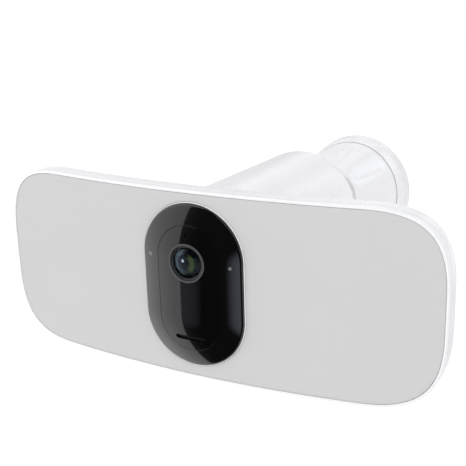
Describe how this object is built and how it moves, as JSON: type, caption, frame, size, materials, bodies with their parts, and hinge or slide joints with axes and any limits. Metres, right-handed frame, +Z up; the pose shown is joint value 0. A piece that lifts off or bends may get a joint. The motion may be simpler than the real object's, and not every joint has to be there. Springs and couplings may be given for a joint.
{
  "type": "floodlight security camera",
  "caption": "Wide bent light panel with an upright oval camera in its middle, a domed battery housing behind it, and a ball-jointed wall mount with a clamping collar.",
  "frame": {"origin": "middle of the wall plate, on its back face against the wall", "axes": "+Y into the wall, +Z up, +X to the right as the lamp is looked at from in front"},
  "size_m": [0.2975, 0.2789, 0.1254],
  "materials": {
    "white_shell": "smooth white moulding",
    "opal_diffuser": "opal, very fine satin",
    "gloss_black": "piano black",
    "smoked_face": "smoked, polished",
    "satin_black": "satin",
    "lens_coated": "coated glass",
    "rubber_grey": "matt",
    "circuit_board": "solder mask",
    "white_board": "white solder mask",
    "heat_sink_metal": "brushed",
    "steel": "machined",
    "contact_gold": "plated",
    "chip_black": "matt",
    "inner_plastic": "fine texture",
    "emitter": "phosphor",
    "cell_wrap": "shrink wrap on a metal can",
    "light_pipe": "clear"
  },
  "bodies": {
    "wall_mount": {"wall_plate": "inner_plastic", "mount_base": "white_shell", "security_screw": "steel", "base_seal": "rubber_grey"},
    "lock_collar": {"lock_collar": "white_shell"},
    "friction_cup": {"friction_cup": "inner_plastic"},
    "ball_stem": {"ball_stem": "inner_plastic", "stem_washer": "steel", "stem_nut": "steel"},
    "sleeve": {"housing_sleeve": "white_shell", "release_spring": "steel"},
    "release_button": {"release_button": "white_shell"},
    "sync_button": {"sync_button": "white_shell"},
    "battery": {"battery_case": "satin_black", "battery_cells": "cell_wrap", "battery_pads": "contact_gold"},
    "head": {"diffuser": "opal_diffuser", "front_bezel": "white_shell", "panel_gasket": "rubber_grey", "rear_cover": "white_shell", "reflector_tray": "white_board", "led_packages": "emitter", "led_board_left": "white_board", "led_board_right": "white_board", "heat_sink_plate": "heat_sink_metal", "panel_screws": "steel", "antennas": "contact_gold", "camera_cover": "gloss_black", "cover_trim": "white_shell", "face_window": "smoked_face", "lens_ring": "satin_black", "lens_glass": "lens_coated", "lens_barrel": "satin_black", "lens_elements": "lens_coated", "image_sensor": "chip_black", "sensor_board": "circuit_board", "main_board": "circuit_board", "board_components": "chip_black", "infrared_board": "circuit_board", "infrared_leds": "light_pipe", "speaker": "satin_black", "speaker_grille": "steel", "microphone": "steel", "sensor_window": "light_pipe", "status_light_pipe": "light_pipe", "motion_sensor": "steel", "motion_lens": "inner_plastic", "chassis": "inner_plastic", "chassis_screws": "steel", "siren": "satin_black", "charge_port": "satin_black", "charge_contacts": "contact_gold", "battery_bay": "inner_plastic", "bay_screws": "steel", "battery_contacts": "contact_gold", "sleeve_seal": "rubber_grey"}
  },
  "joints": [
    {"name": "collar_turn", "type": "hinge", "parent": "wall_mount", "child": "lock_collar", "pos_m": [0, -0.043, 0], "axis": [0, 1, 0], "range_deg": [0, 90]},
    {"name": "head_pan", "type": "hinge", "parent": "wall_mount", "child": "friction_cup", "pos_m": [0, -0.043, 0], "axis": [0, 0, 1], "range_deg": [-35, 25]},
    {"name": "head_tilt", "type": "hinge", "parent": "friction_cup", "child": "ball_stem", "pos_m": [0, -0.043, 0], "axis": [0.9962, 0.0872, 0], "range_deg": [-32, 20]},
    {"name": "head_roll", "type": "hinge", "parent": "ball_stem", "child": "sleeve", "pos_m": [0, -0.043, 0], "axis": [-0.0867, 0.9907, 0.1045], "range_deg": [-30, 30]},
    {"name": "head_slide", "type": "slide", "parent": "sleeve", "child": "head", "axis": [0.0867, -0.9907, -0.1045], "range_m": [0, 0.15]},
    {"name": "battery_slide", "type": "slide", "parent": "head", "child": "battery", "axis": [-0.0867, 0.9907, 0.1045], "range_m": [0, 0.075]},
    {"name": "release_press", "type": "slide", "parent": "sleeve", "child": "release_button", "axis": [0.0091, -0.1041, 0.9945], "range_m": [0, 0.0015], "stiffness_N_per_m": 900, "springref_m": -0.0015, "deforming": ["release_spring"]},
    {"name": "sync_press", "type": "slide", "parent": "head", "child": "sync_button", "axis": [0.0867, -0.9907, -0.1045], "range_m": [0, 0.0008], "stiffness_N_per_m": 1500, "springref_m": -0.0006}
  ],
  "couplings": [
    {"joint": "battery_slide", "follows": "head_slide", "ratio": 0.5}
  ]
}
